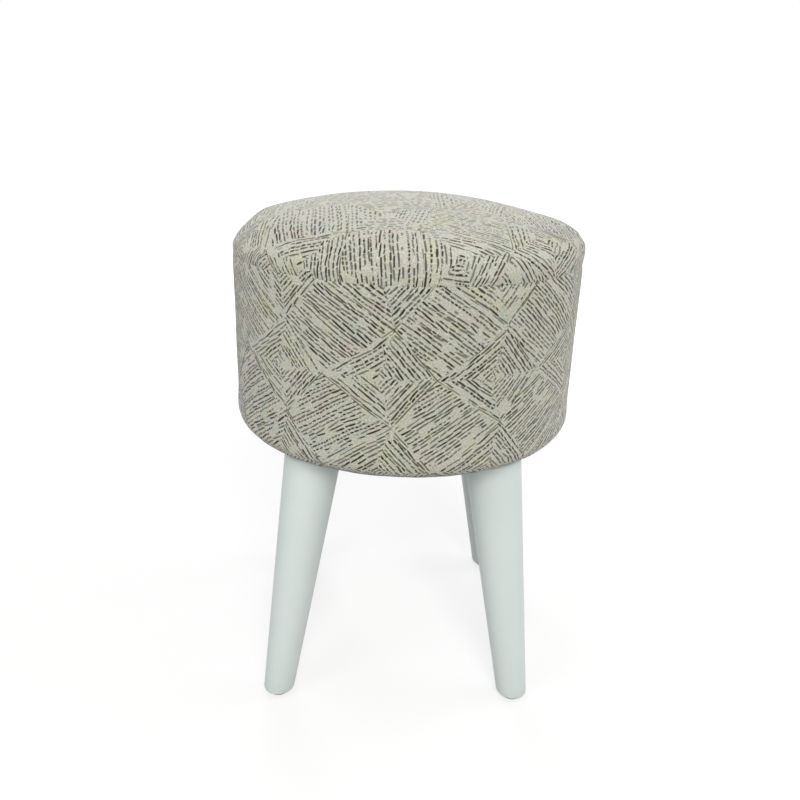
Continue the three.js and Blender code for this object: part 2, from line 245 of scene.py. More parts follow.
def line_dashes(node, mm, crown, line, chance, width_chance, along, stretch, apart):
    """The ink of a line's dashes: dots on some lines, long strokes on others, each with its own gap after it.

    Each dash has its own slant and weight, and its ends taper. On the crown the dashes differ less in length,
    the gaps are wider and the ink is paler, which is painted sheen. Lengths are in millimetres."""
    stretched = node("Math", [stretch, 9.0, along], "MULTIPLY_ADD")
    skewed = node("Math", [chance["Red"], 1.25], "POWER")
    # On the crown the ink's base weight drops: painted sheen, the top's grazing sheen painted into the print
    spread, shortest, ink_weight_with_painted_sheen = [
        node("Math", [crown, on_crown, below], "MULTIPLY_ADD")
        for on_crown, below in ((-7.0, 12.0), (2.6, 3.0), (-0.22, 0.68))
    ]
    period = node("Math", [skewed, spread, shortest], "MULTIPLY_ADD")
    beat = node("Math", [stretched, period], "DIVIDE")
    shifted_beat = node("Math", [chance["Green"], 17.0, beat], "MULTIPLY_ADD")
    dash = node("Math", [shifted_beat], "FLOOR")
    in_dash = node("Math", [node("Math", [shifted_beat], "FRACT"), 0.5], "SUBTRACT")
    in_dash_mm = node("Math", [in_dash, period], "MULTIPLY")
    own = node("TexWhiteNoise", {"Vector": line, "W": dash}, out="Color", noise_dimensions="4D")
    own = node("SeparateColor", [own]).node.outputs
    close_gap, slant, slide = [
        node("Math", [own[part], spread_by, least], "MULTIPLY_ADD")
        for part, spread_by, least in (("Red", 0.42, 0.14), ("Blue", 0.24, -0.12), ("Green", 0.6, -0.3))
    ]
    half_gap = node("Math", [crown, 0.9, close_gap], "MULTIPLY_ADD")
    half_dash = node("Math", [node("Math", [period, 0.5], "MULTIPLY"), half_gap], "SUBTRACT")
    from_middle = node("Math", [in_dash_mm], "ABSOLUTE")
    end_room = node("Math", [half_dash, from_middle], "SUBTRACT")
    wobble = node("Math", [slant, in_dash_mm, slide], "MULTIPLY_ADD")
    off_line = node("Math", [node("Math", [apart, LINE_PITCH, wobble], "MULTIPLY_ADD")], "ABSOLUTE")
    swell = node("TexNoise", {"Vector": mm, "Scale": 1 / 5, "Detail": 1.0})
    own_width = node("Math", [width_chance, 0.3, swell], "MULTIPLY_ADD")
    half_line = node("Math", [own_width, 0.7, 0.22], "MULTIPLY_ADD")
    to_tip = node("Math", [node("Math", [from_middle, half_dash], "DIVIDE"), 3.0], "POWER")
    tapered = node("Math", [to_tip, -0.18, half_line], "MULTIPLY_ADD")
    side_room = node("Math", [tapered, off_line], "SUBTRACT")
    room = node("Math", [end_room, side_room], "MINIMUM")
    shape = node("Math", [room, 1 / INK_EDGE, 0.5], "MULTIPLY_ADD", use_clamp=True)
    # Each dash's own weight, lowered on the crown as painted sheen
    weight = node("Math", [own["Blue"], 0.42, ink_weight_with_painted_sheen], "MULTIPLY_ADD", use_clamp=True)
    return node("Math", [shape, weight], "MULTIPLY")


def nested_lines(node, wander, falling, rising, in_cell, far):
    """Lines that follow the nearest side of their diamond, with ragged corners where they meet.

    Returns how far a point lies past the corner, and for the lines there whether they fall, and the distances
    across and along them in millimetres."""
    beyond_corner = node("Math", [far["X"], far["Y"]], "SUBTRACT")
    ragged_corner = node("Math", [wander, 0.3, beyond_corner], "MULTIPLY_ADD")
    past_corner = node("Math", [ragged_corner, 0.15], "SUBTRACT")
    falls = node("Math", [past_corner, 0.0], "GREATER_THAN")
    across = node("Mix", {0: falls, 2: in_cell["Y"], 3: in_cell["X"]})
    along = node("Mix", {0: falls, 2: falling, 3: rising})
    rightward = node("Math", [in_cell["X"], in_cell["Y"]], "ADD")
    on_right = node("Math", [rightward, 0.0], "GREATER_THAN")
    evened = node("Mix", {0: on_right, 2: CELL_ACROSS * 0.82, 3: CELL_ACROSS * 1.12})
    across_mm = node("Math", [across, evened], "MULTIPLY")
    return past_corner, (falls, across_mm, node("Math", [along, CELL_ALONG], "MULTIPLY"))


def hatching_lines(node, drawn, row_of_four, cell_chance):
    """Lines that lean about 35 degrees one way or the other, a little more or less in each diamond.

    Returns whether they fall, and the distances across and along them in millimetres."""
    falls = node("Math", [row_of_four, 1.0, 0.5], "COMPARE")
    way = node("Math", [falls, 2.0, -1.0], "MULTIPLY_ADD")
    lean = node("Math", [cell_chance, 0.2, 0.5], "MULTIPLY_ADD")
    angle = node("Math", [way, lean], "MULTIPLY")
    leaning = node("VectorRotate", {"Vector": drawn, "Angle": angle}, rotation_type="Z_AXIS")
    axes = node("SeparateXYZ", [leaning]).node.outputs
    return falls, axes["Y"], axes["X"]


def edge_lines(node, mm, crown, from_edge):
    """The ink of the long lines between diamonds: nearly unbroken, on some stretches, paler on the crown as
    painted sheen.
    """
    room = node("Math", [EDGE_LINE_HALF, from_edge], "SUBTRACT")
    line = node("Math", [room, 1 / INK_EDGE, 0.5], "MULTIPLY_ADD", use_clamp=True)
    stretch = node("TexNoise", {"Vector": mm, "Scale": 1 / 24, "Detail": 3.0})
    on_stretch = node("Math", [node("Math", [stretch, 0.5], "SUBTRACT"), 25.0], "MULTIPLY", use_clamp=True)
    # Painted sheen: the long lines paler on the crown
    weight = node("Math", [crown, -0.4, 0.9], "MULTIPLY_ADD")
    return node("Math", [node("Math", [line, on_stretch], "MULTIPLY"), weight], "MULTIPLY")


def print_ink(node, mm, place, grain):
    """How much ink lies at each point: lines of dashes that fill the diamonds, and long lines between them.

    Every other row of diamonds holds nested lines, and the rows between are hatched, by turns falling and
    rising. Some places stay bare."""
    # 0 below the crown and 1 on it: there the dashes change and the ink is paler, which is painted sheen
    crown = node("MapRange", [node("SeparateXYZ", [place], out="Z"), CROWN_PRINT_LOW, CROWN_PRINT_HIGH])
    drawn, wander, falling, rising = print_cells(node, mm)
    lattice = node("CombineXYZ", [falling, rising])
    cell = node("VectorMath", [lattice], "FLOOR")
    cell_chance = node("TexWhiteNoise", {"Vector": cell})
    from_middle = node("VectorMath", [node("VectorMath", [lattice], "FRACTION"), (0.5, 0.5, 0)], "SUBTRACT")
    far = node("VectorMath", [from_middle], "ABSOLUTE")
    number, in_cell, far = [node("SeparateXYZ", [vector]).node.outputs for vector in (cell, from_middle, far)]
    row = node("Math", [number["X"], number["Y"]], "SUBTRACT")
    row_of_four = node("Math", [row, 4.0], "FLOORED_MODULO")
    hatched = node("Math", [row_of_four, 2.0], "MODULO")

    # The nearest line: its number, its own chances, and how far along it and off its middle the point is
    past_corner, nested = nested_lines(node, wander, falling, rising, in_cell, far)
    hatching = hatching_lines(node, drawn, row_of_four, cell_chance)
    both = zip(nested, hatching)
    falls, across, along = [node("Mix", {0: hatched, 2: first, 3: second}) for first, second in both]
    count = node("Math", [across, 1 / LINE_PITCH], "MULTIPLY")
    line = node("Math", [count], "ROUND")
    line_kind = node("Math", [falls, 31.0, line], "MULTIPLY_ADD")
    line_name = node("CombineXYZ", [line_kind, number["X"], number["Y"]])
    chance = node("SeparateColor", [node("TexWhiteNoise", {"Vector": line_name}, out="Color")]).node.outputs
    more = node("TexWhiteNoise", {"Vector": line_name, "W": 0.5}, out="Color", noise_dimensions="4D")
    more = node("SeparateColor", [more]).node.outputs
    shift = node("Math", [more["Red"], 0.4, -0.2], "MULTIPLY_ADD")
    apart = node("Math", [node("Math", [count, line], "SUBTRACT"), shift], "ADD")

    # Patches in the lines' own direction: where the dashes stretch, and where the cloth stays bare
    spread = (along, 1 / 14), (count, 1 / 3.5), (cell_chance, 97.0)
    by_line = node("CombineXYZ", [node("Math", [value, share], "MULTIPLY") for value, share in spread])
    patches = node("TexNoise", {"Vector": by_line, "Scale": 1.0, "Detail": 1.5}, out="Color")
    patches = node("SeparateColor", [patches]).node.outputs
    dashes = line_dashes(node, mm, crown, line_name, chance, more["Green"], along, patches["Green"], apart)

    # Bare places: the patches, and ragged strips where lines stop short of a side or of a corner
    own_patch = node("Math", [chance["Green"], 0.2, patches["Red"]], "MULTIPLY_ADD")
    filled = node("Math", [node("Math", [own_patch, 0.45], "SUBTRACT"), 30.0], "MULTIPLY", use_clamp=True)
    early = node("Math", [chance["Blue"], 3.0], "POWER")
    earliest = node("Mix", {0: hatched, 2: 1.3, 3: 4.0})
    stop = node("Math", [early, earliest, 0.2], "MULTIPLY_ADD")
    edge_share = node("Math", [far["X"], far["Y"]], "MAXIMUM")
    from_edge = node("Math", [edge_share, -CELL_ACROSS, CELL_ACROSS / 2], "MULTIPLY_ADD")
    from_corner = node("Math", [node("Math", [past_corner], "ABSOLUTE"), CELL_ALONG], "MULTIPLY")
    to_end = node("Mix", {0: hatched, 2: from_corner, 3: from_edge})
    reaches = node("Math", [to_end, stop], "GREATER_THAN")
    filling = node("Math", [dashes, node("Math", [filled, reaches], "MULTIPLY")], "MULTIPLY")

    # Ink lies on the threads' tops, so it breaks up at the scale of the weave
    uneven = node("MapRange", [grain, 0.25, 0.5, 0.7, 1.0])
    most = node("Math", [filling, edge_lines(node, mm, crown, from_edge)], "MAXIMUM")
    return node("Math", [most, uneven], "MULTIPLY")


def cotton_ground(node, mm, grain):
    """The unprinted cloth's colour: cream, yellower, greener or pinker in places, and mottled."""
    colour = paint("d2d2c5")
    tints = (24, 0, 0.47, "d1d2b8"), (20, 311, 0.52, "d3cbc1"), (22, 733, 0.52, "c8cec1")
    for size, away, low, tint in tints:
        there = node("VectorMath", [mm, (away, away / 3, 0)], "ADD")
        patch = node("TexNoise", {"Vector": there, "Scale": 1 / size, "Detail": 2.0})
        share = node("MapRange", [patch, low, low + 0.23])
        colour = node("Mix", {0: share, 6: colour, 7: paint(tint)}, out=2, data_type="RGBA")
    mottle = node("MapRange", [grain, 0.35, 0.65, 0.79, 1.17])
    return node("VectorMath", {0: colour, "Scale": mottle}, "SCALE")


def plain_weave(node, mm, grain):
    """The weave's height: threads over and under by turns, 1.2 mm apart, twice the real spacing to show."""
    thread = 1.2
    turns = node("VectorMath", {0: mm, "Scale": math.pi / thread}, "SCALE")
    waves = node("VectorMath", [node("VectorMath", [turns], "SINE")], "ABSOLUTE")
    wave_axes = node("SeparateXYZ", [waves]).node.outputs
    over_under = node("TexChecker", {"Vector": mm, "Scale": 1 / thread}, out="Fac")
    weave = node("Mix", {0: over_under, 2: wave_axes["X"], 3: wave_axes["Y"]})
    return node("Math", [grain, 1.2, weave], "MULTIPLY_ADD")


def printed_cloth():
    """Plain-woven cotton blend, screen-printed: matt, a little fuzzy, cream with broken brown-grey lines."""
    finish, node, place = new_finish("printed_cotton_upholstery", {
        "Roughness": 0.9, "Specular IOR Level": 0.2, "Diffuse Roughness": 0.4,
        "Sheen Weight": 0.5, "Sheen Roughness": 0.3, "Sheen Tint": paint("e4dee8"),
    })
    mm = node("VectorMath", {0: node("UVMap", uv_map="cloth"), "Scale": 1 / MM}, "SCALE")
    grain = node("TexNoise", {"Vector": mm, "Scale": 1 / 1.3, "Detail": 2.0})
    ink = print_ink(node, mm, place, grain)
    colours = cotton_ground(node, mm, grain), paint("2f281b")
    return completed(finish, ink, colours, (plain_weave(node, mm, grain), 0.22 * MM, 1.0))


def foam_finish():
    """Flexible polyurethane foam, sliced: pale yellow, dull, pitted all over by its open cells."""
    finish, node, place = new_finish("sliced_polyurethane_foam", {
        "Roughness": 0.95, "Specular IOR Level": 0.2, "Subsurface Weight": 0.1,
    })
    cells = node("TexVoronoi", {"Vector": place, "Scale": 1 / (1.1 * MM)}, out="Distance")
    tone = node("TexNoise", {"Vector": place, "Scale": 1 / (30 * MM), "Detail": 3.0})
    return completed(finish, tone, (paint("e9dfb4"), paint("dccf9c")), (cells, 0.4 * MM, 1.0))


def plywood():
    """Rotary-cut softwood plywood, sanded: on the edge its 2.5 mm plies are pale and dark by turns."""
    finish, node, place = new_finish("sanded_plywood", {"Roughness": 0.7, "Specular IOR Level": 0.3})
    height = node("SeparateXYZ", [place], out="Z")
    ply = node("Math", [node("Math", [height, 2.5 * MM], "DIVIDE")], "FLOOR")
    odd = node("Math", [node("Math", [ply, 2.0], "FLOORED_MODULO")], "ABSOLUTE")
    long_grain = node("Mapping", {"Vector": place, "Scale": (60, 900, 300)})
    fibres = node("TexNoise", {"Vector": long_grain, "Scale": 1.0, "Detail": 4.0, "Distortion": 0.4})
    plies = [
        node("Mix", {0: fibres, 6: paint(early), 7: paint(late)}, out=2, data_type="RGBA")
        for early, late in (("d9bd90", "b98f5c"), ("c29c69", "9c7446"))
    ]
    return completed(finish, odd, plies, (fibres, 0.15 * MM, 0.6))


def timber():
    """Planed pine: growth rings about 3 mm apart run up the post, with fine fibres between them."""
    finish, node, place = new_finish("planed_pine", {"Roughness": 0.65, "Specular IOR Level": 0.3})
    up_grain = node("Mapping", {"Vector": place, "Scale": (1, 1, 0.06)})
    ripple = {"Scale": 50, "Distortion": 3.0, "Detail": 2.0, "Detail Scale": 1.5}
    rings = node("TexWave", {"Vector": up_grain, **ripple}, out="Fac", wave_type="RINGS")
    fibres = node("TexNoise", {"Vector": up_grain, "Scale": 1 / (0.8 * MM), "Detail": 3.0})
    tone = node("Math", [rings, 0.6, node("Math", [fibres, 0.4], "MULTIPLY")], "MULTIPLY_ADD")
    return completed(finish, tone, (paint("e3c999"), paint("bf9458")), (tone, 0.12 * MM, 0.5))


def hardboard():
    """Tempered hardboard: brown pressed fibre, smooth on its face and mottled by flecks about 2 mm long."""
    finish, node, place = new_finish("pressed_hardboard", {"Roughness": 0.55, "Specular IOR Level": 0.35})
    flecks = node("TexNoise", {"Vector": place, "Scale": 1 / (2 * MM), "Detail": 4.0, "Roughness": 0.7})
    return completed(finish, flecks, (paint("8a6644"), paint("5a3f28")), (flecks, 0.08 * MM, 0.5))


def leg_paint():
    """Satin alkyd paint, sprayed on turned wood: cool white, the grain just showing through as long ridges.

    The paint is a little rubbed and grey round the foot, where shoes and mops reach it."""
    finish, node, place = new_finish("satin_cool_white_paint", {
        "Specular IOR Level": 0.4, "IOR": 1.5, "Coat Weight": 0.08, "Coat Roughness": 0.25,
    })
    up_grain = node("Mapping", {"Vector": place, "Scale": (1, 1, 0.05)})
    grain = node("TexNoise", {"Vector": up_grain, "Scale": 1 / (1.6 * MM), "Detail": 3.0, "Roughness": 0.6})
    peel, cloud, smudge = [
        node("TexNoise", {"Vector": place, "Scale": 1 / (size * MM), "Detail": detail})
        for size, detail in ((1.5, 1.0), (45, 2.0), (6, 3.0))
    ]
    height = node("SeparateXYZ", [place], out="Z")
    low = node("MapRange", [height, 3 * MM, 18 * MM, 1.0, 0.0])
    patches = node("MapRange", [smudge, 0.4, 0.75])
    worn = node("Math", [node("Math", [low, patches], "MULTIPLY"), 0.25], "MULTIPLY")
    coat = node("Mix", {0: cloud, 6: paint("e9f2f0"), 7: paint("e1ebe8")}, out=2, data_type="RGBA")
    rough = node("Math", [worn, node("MapRange", [cloud, 0.0, 1.0, 0.36, 0.46])], "ADD")
    ridges = node("Math", [peel, 0.5, grain], "MULTIPLY_ADD")
    return completed(finish, worn, (coat, paint("a9aca6")), (ridges, 0.05 * MM, 1.0), Roughness=rough)


def zinc_steel():
    """Cold-rolled steel, bright zinc-plated: silver with a cool haze and fine scratches from tumbling."""
    finish, node, place = new_finish("bright_zinc_plated_steel", {"Metallic": 1.0})
    haze = node("TexNoise", {"Vector": place, "Scale": 1 / (7 * MM), "Detail": 3.0})
    streaks = node("Mapping", {"Vector": place, "Scale": (1, 0.08, 1)})
    scratches = node("TexNoise", {"Vector": streaks, "Scale": 1 / (0.5 * MM), "Detail": 2.0})
    rough = node("MapRange", [haze, 0.0, 1.0, 0.26, 0.44])
    colours = paint("c9ccce"), paint("b1b5b6")
    return completed(finish, haze, colours, (scratches, 0.02 * MM, 0.6), Roughness=rough)


def glide_plastic():
    """Moulded polypropylene: dark grey, waxy, its underside scuffed paler by the floor."""
    finish, node, place = new_finish("moulded_polypropylene", {"Specular IOR Level": 0.4, "IOR": 1.49})
    streaks = node("Mapping", {"Vector": place, "Scale": (1, 0.15, 1)})
    scuff = node("TexNoise", {"Vector": streaks, "Scale": 1 / (0.7 * MM), "Detail": 3.0})
    paler = node("MapRange", [scuff, 0.45, 0.75])
    rough = node("MapRange", [scuff, 0.0, 1.0, 0.45, 0.65])
    colours = paint("3c3d3a"), paint("5c5d59")
    return completed(finish, paler, colours, (scuff, 0.05 * MM, 0.7), Roughness=rough)


def dust_cloth_finish():
    """Spunbond polypropylene cloth, calendered: black, dull, dimpled in rows 1.4 mm apart, fibres astray."""
    finish, node, place = new_finish("black_spunbond_polypropylene", {
        "Roughness": 0.75, "Specular IOR Level": 0.3, "Sheen Weight": 0.15,
    })
    rows = {"Scale": 1 / (1.4 * MM), "Randomness": 0.15}
    dimples = node("TexVoronoi", {"Vector": place, **rows}, out="Distance", voronoi_dimensions="2D")
    fibres = node("TexNoise", {"Vector": place, "Scale": 1 / (0.6 * MM), "Detail": 4.0, "Distortion": 1.5})
    tone = node("Math", [fibres, 0.6, dimples], "MULTIPLY_ADD")
    return completed(finish, tone, (paint("161616"), paint("303030")), (tone, 0.15 * MM, 1.0))


# Surfaces

def faces_between(index):
    """The corners of the four-sided faces between neighbouring rings of numbered points: (rows, sides, 4)."""
    beside = np.roll(index, -1, axis=1)
    return np.stack([index[:-1], beside[:-1], beside[1:], index[1:]], axis=-1)


def add_cloth_map(mesh, maps, used):
    """Gives a mesh the cloth's own coordinates as its UV map, at the corners of its faces that are used."""
    rows, sides = np.indices(used.shape[:2])
    corner_rows = np.stack([rows, rows, rows + 1, rows + 1], axis=-1) % len(maps)
    corner_sides = np.stack([sides, sides + 1, sides + 1, sides], axis=-1)
    layer = mesh.uv_layers.new(name="cloth")
    layer.data.foreach_set("uv", maps[corner_rows[used], corner_sides[used]].astype(np.float32).ravel())


def surface(name, rings, finish, maps=None, ends="poles"):
    """A closed piece from rings of points, an array (rings, sides, 3), riding on the stool's one body.

    Neighbouring rings are joined by four-sided faces, and each ring closes on itself. With ends="poles" the
    first and the last ring count as single points, closed by fans. With ends="loop" the last ring joins the
    first. An array (parts, rings, sides, 3) gives several closed parts in one piece. `maps` gives the cloth's
    own coordinates at each point, an array (rings, sides + 1, 2)."""
    parts = rings.reshape(-1, *rings.shape[-3:])
    count, sides = parts.shape[1:3]
    index = np.arange(count * sides).reshape(count, sides)
    points = parts.reshape(len(parts), -1, 3)
    if ends == "poles":
        first, last = np.zeros((1, sides), int), np.full((1, sides), (count - 2) * sides + 1)
        index = np.vstack([first, index[1:-1] - sides + 1, last])
        kept = [points[:, :1], points[:, sides:-sides], points[:, -sides:1 - sides]]
        points = np.concatenate(kept, axis=1)
    else:
        index = np.vstack([index, index[:1]])
    quads = faces_between(index)
    used = np.ones(quads.shape, bool)
    if ends == "poles":
        used[0, :, 1] = False
        used[-1, :, 2] = False
    corners = quads[used] + points.shape[1] * np.arange(len(parts))[:, None]
    sizes = np.tile(used.sum(axis=-1).ravel(), len(parts))
    mesh = bpy.data.meshes.new(name)
    mesh.vertices.add(points.size // 3)
    mesh.vertices.foreach_set("co", points.astype(np.float32).ravel())
    mesh.loops.add(corners.size)
    mesh.loops.foreach_set("vertex_index", corners.astype(np.int32).ravel())
    mesh.polygons.add(len(sizes))
    mesh.polygons.foreach_set("loop_start", np.concatenate([[0], np.cumsum(sizes)[:-1]]).astype(np.int32))
    mesh.polygons.foreach_set("use_smooth", np.ones(len(sizes), bool))
    if maps is not None:
        add_cloth_map(mesh, maps, used)
    mesh.update(calc_edges=True)
    mesh.validate()
    mesh.materials.append(finish)
    made = bpy.data.objects.new(name, mesh)
    bpy.context.scene.collection.objects.link(made)
    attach(made, "root")
    return made


def all_round(sides):
    """So many even angles once round, from the left by way of the front."""
    return np.linspace(-math.pi, math.pi, sides, endpoint=False)


def turn(radius, height, angles):
    """Carries a profile round the upright axis: one level ring for each of its points."""
    radius, height = radius[:, None] + 0 * angles, height[:, None] + 0 * angles
    return np.stack([radius * np.cos(angles), radius * np.sin(angles), height], axis=-1)


def arc(centre, radius, start, end, count):
    """Points of an arc, its angles measured from the outward direction towards the upward one."""
    angle = np.linspace(start, end, count)
    return np.column_stack([centre[0] + radius * np.cos(angle), centre[1] + radius * np.sin(angle)])


def bell(distance, width):
    """1 at no distance, falling smoothly to about a third at the width and to nothing past its double."""
    return np.exp(-(distance / width) ** 2)


def ramp(value, start, length):
    """0 up to a start, 1 past a length from it, and even between."""
    return np.clip((value - start) / length, 0, 1)


def smooth_step(share):
    """A share from 0 to 1 that sets off and arrives gently: three squares less two cubes of it."""
    return share * share * (3 - 2 * share)


def even_path(points):
    """A profile as points a step apart, its kinks softened by a running mean, and the outward normals.

    Returns distance along the path, points (radius, height) and normals. The path runs up with its outside on
    the right."""
    step, soften = 0.1 * MM, 5
    gaps = np.hypot(*np.diff(points, axis=0).T)
    run = np.concatenate([[0], np.cumsum(gaps)])
    keep = np.concatenate([[True], gaps > 1e-9])
    along = np.linspace(0, run[-1], int(run[-1] / step) + 1)
    even = np.column_stack([np.interp(along, run[keep], points[keep, k]) for k in (0, 1)])
    padded = np.pad(even, ((soften, soften), (0, 0)), mode="reflect", reflect_type="odd")
    kernel = np.ones(2 * soften + 1) / (2 * soften + 1)
    smooth = np.column_stack([np.convolve(padded[:, k], kernel, mode="valid") for k in (0, 1)])
    tangent = np.gradient(smooth, axis=0)
    tangent /= np.hypot(*tangent.T)[:, None]
    return along, smooth, np.column_stack([tangent[:, 1], -tangent[:, 0]])


def seam_pull(height):
    """How far the seam draws the side in at a height: a bell round the seam."""
    return SEAM_DRAW * bell(height - SEAM_HEIGHT, SEAM_BLEND)


def top_path():
    """The top cloth's outer face: from its raw edge to the turned edge, up the shoulder and to the middle."""
    edge = SEAM_HEIGHT + SEAM_GAP + SEAM_ROLL
    start = math.asin((edge - SEAM_HEIGHT) / SHOULDER_RADIUS)
    shoulder = arc((SHOULDER_CENTRE, SEAM_HEIGHT), SHOULDER_RADIUS, start, math.pi / 2 - CROWN_EDGE, 400)
    shoulder[:, 0] -= seam_pull(shoulder[:, 1])
    roll_centre = (shoulder[0, 0] - SEAM_ROLL, edge)
    raw = [[roll_centre[0] - SEAM_ALLOWANCE, SEAM_HEIGHT + SEAM_GAP]]
    roll = arc(roll_centre, SEAM_ROLL, -math.pi / 2, 0, 40)
    radius = np.linspace(CROWN_RADIUS, 0, 600)
    crown = np.column_stack([radius, SEAT_HEIGHT - CROWN_RISE * (radius / CROWN_RADIUS) ** 2])
    return even_path(np.vstack([raw, roll, shoulder[1:], crown[1:]]))


def band_path():
    """The band's outer face: from its raw edge under the base, round the hem and up to the turned edge."""
    under = np.array([[HEM_FLAT_RADIUS - HEM_WIDTH, SEAT_UNDERSIDE], [HEM_FLAT_RADIUS, SEAT_UNDERSIDE]])
    hem_centre = (HEM_FLAT_RADIUS, SEAT_UNDERSIDE + HEM_RADIUS)
    hem = arc(hem_centre, HEM_RADIUS, -math.pi / 2, 0, 200)
    edge = SEAM_HEIGHT - SEAM_GAP - SEAM_ROLL
    height = np.linspace(hem_centre[1], edge, 600)
    side = np.column_stack([SEAT_RADIUS - seam_pull(height), height])
    roll_centre = (side[-1, 0] - SEAM_ROLL, edge)
    roll = arc(roll_centre, SEAM_ROLL, 0, math.pi / 2, 40)
    raw = [[roll_centre[0] - SEAM_ALLOWANCE, SEAM_HEIGHT - SEAM_GAP]]
    return even_path(np.vstack([under, hem[1:], side[1:], roll[1:], raw]))


def carried(path, along, angles):
    """A path carried round the upright axis: its points at some distances along it, and the normals there."""
    run, points, normals = path
    place, normal = [
        np.column_stack([np.interp(along, run, values[:, k]) for k in (0, 1)]) for values in (points, normals)
    ]
    normal /= np.hypot(*normal.T)[:, None]
    return turn(*place.T, angles), turn(*normal.T, angles)


TOP_PATH, BAND_PATH = top_path(), band_path()
TOP_REACH, BAND_LENGTH = TOP_PATH[0][-1], BAND_PATH[0][-1]
TURNED_IN = SEAM_ALLOWANCE + SEAM_ROLL * math.pi / 2
BAND_SEAM = BAND_LENGTH - TURNED_IN
HEM_END = HEM_WIDTH + HEM_RADIUS * math.pi / 2
HEM_PADDED_FROM = HEM_WIDTH + 6 * MM
TOP_RINGS = np.linspace(TURNED_IN, TOP_REACH, 42)
BAND_RINGS = np.linspace(0, BAND_SEAM, 44)


# How the padding and the cloth give

def padding_swell(points):
    """Outward push of the soft padding at points on the drum, in metres.

    The side is a little plump, most on the left, and swells again above the hem. The shoulder is fuller on
    the right than on the left, and the crown leans down to the right. On that lie soft lumps: a sum of plane
    waves 50 to 190 mm long in seeded directions. The push depends only on the place, so neighbouring pieces
    move alike."""
    lumps, lump_height, usual_length = 26, 0.11 * MM, 120 * MM
    shoulder_height, hem_height = 3.6 * MM, 1.3 * MM
    draw = np.random.default_rng(SEED)
    x, y, z = np.moveaxis(points, -1, 0)
    push = 0
    for _ in range(lumps):
        direction = draw.normal(size=3)
        direction /= np.linalg.norm(direction)
        length = draw.uniform(50, 190) * MM
        phase = draw.uniform(0, 2 * math.pi)
        run = direction[0] * x + direction[1] * y + direction[2] * z
        wave = np.cos(2 * math.pi / length * run + phase)
        push = push + lump_height * (length / usual_length) * wave
    above_seam = z - SEAM_HEIGHT
    on_top = ramp(above_seam, 14 * MM, 18 * MM)
    off_middle = ramp(np.hypot(x, y), 0, 60 * MM)
    rightward = x / SEAT_RADIUS
    push += (0.8 - 0.6 * rightward) * MM * (1 - on_top)
    push -= (0.8 + 1.4 * rightward) * MM * on_top * off_middle
    fuller = bell(above_seam - 19 * MM, 10 * MM)
    flatter = bell(above_seam - 24 * MM, 12 * MM)
    push += rightward * np.where(rightward > 0, shoulder_height * fuller, shoulder_height * flatter)
    return push + hem_height * bell(z - SEAT_UNDERSIDE - 16 * MM, 14 * MM)


def seam_puckers(angles, distance):
    """Small gathers beside the seam, on longer tension folds.

    The gathers are waves 8 to 12 mm long that die away within a few millimetres of the seam, and the folds
    die away more slowly."""
    waves = 7
    gather_height, gather_reach = 0.5 * MM, 5 * MM
    fold_height, fold_reach = 0.4 * MM, 17 * MM
    draw = np.random.default_rng(SEED + 1)
    fine, slow = 0, 0
    for _ in range(waves):
        turns, phase = draw.integers(80, 122), draw.uniform(0, 2 * math.pi)
        fine = fine + np.sin(turns * angles + phase) / waves
        turns, phase = draw.integers(18, 44), draw.uniform(0, 2 * math.pi)
        slow = slow + np.sin(turns * angles + phase) / waves
    gathers = gather_height * fine * np.exp(-distance / gather_reach)
    return gathers + fold_height * slow * np.exp(-distance / fold_reach)


def plate_clearance(x, y):
    """0 over the leg plates and 1 away from them, where the underside is free to gather and sag."""
    pressed_radius = 45 * MM
    free = 1
    for angle in CORNERS.values():
        away = np.hypot(x - PLATE_REACH * math.cos(angle), y - PLATE_REACH * math.sin(angle))
        free = free * (1 - np.exp(-(away / pressed_radius) ** 6))
    return free


def hem_pleats(x, y):
    """Downward height of the gathers where the band is pulled in under the base.

    Rounded pleats about 13 mm apart at uneven places grow from the hem's flat edge towards the raw edge. The
    leg plates press them flat."""
    pleats, pleat_height = 66, 1.7 * MM
    angle, radius = np.arctan2(y, x), np.hypot(x, y)
    draw = np.random.default_rng(SEED + 2)
    wander = 0
    for turns in (3, 5, 8, 13):
        wander = wander + 0.35 * np.sin(turns * angle + draw.uniform(0, 2 * math.pi))
    crease = np.cos(pleats * angle + 2.2 * wander)
    ridge = np.clip(crease, -0.2, 1) ** 2 * (0.7 + 0.3 * np.sin(9 * angle + 1.3))
    reach = ramp(HEM_FLAT_RADIUS + 5 * MM, radius, 22 * MM)
    return pleat_height * ridge * reach * plate_clearance(x, y)


# The cloth

def settled(start, faces, held):
    """Where a sheet's points lie once it has settled as tight cloth, pressed outwards and held in places.

    It is cut 1 % too large, so it buckles beside what holds it, and pressure stands for the padding."""
    scene = bpy.context.scene
    mesh = bpy.data.meshes.new("settling_cover")
    mesh.from_pydata(start.tolist(), [], faces.tolist())
    sheet = bpy.data.objects.new("settling_cover", mesh)
    scene.collection.objects.link(sheet)
    sheet.vertex_groups.new(name="held").add(held.tolist(), 1.0, "REPLACE")
    settings = sheet.modifiers.new("settle", "CLOTH").settings
    settings.quality = 5
    settings.mass = 0.2
    settings.tension_stiffness = settings.compression_stiffness = 20
    settings.bending_stiffness = 0.05
    settings.shrink_min = -0.01
    settings.use_pressure = True
    settings.uniform_pressure_force = 4
    settings.vertex_group_mass = "held"
    settings.effector_weights.gravity = 0
    for moment in range(1, 21):
        scene.frame_set(moment)
    moved = np.empty(start.size, np.float32)
    sheet.evaluated_get(bpy.context.evaluated_depsgraph_get()).data.vertices.foreach_get("co", moved)
    scene.frame_set(1)
    bpy.data.objects.remove(sheet)
    bpy.data.meshes.remove(mesh)
    return moved


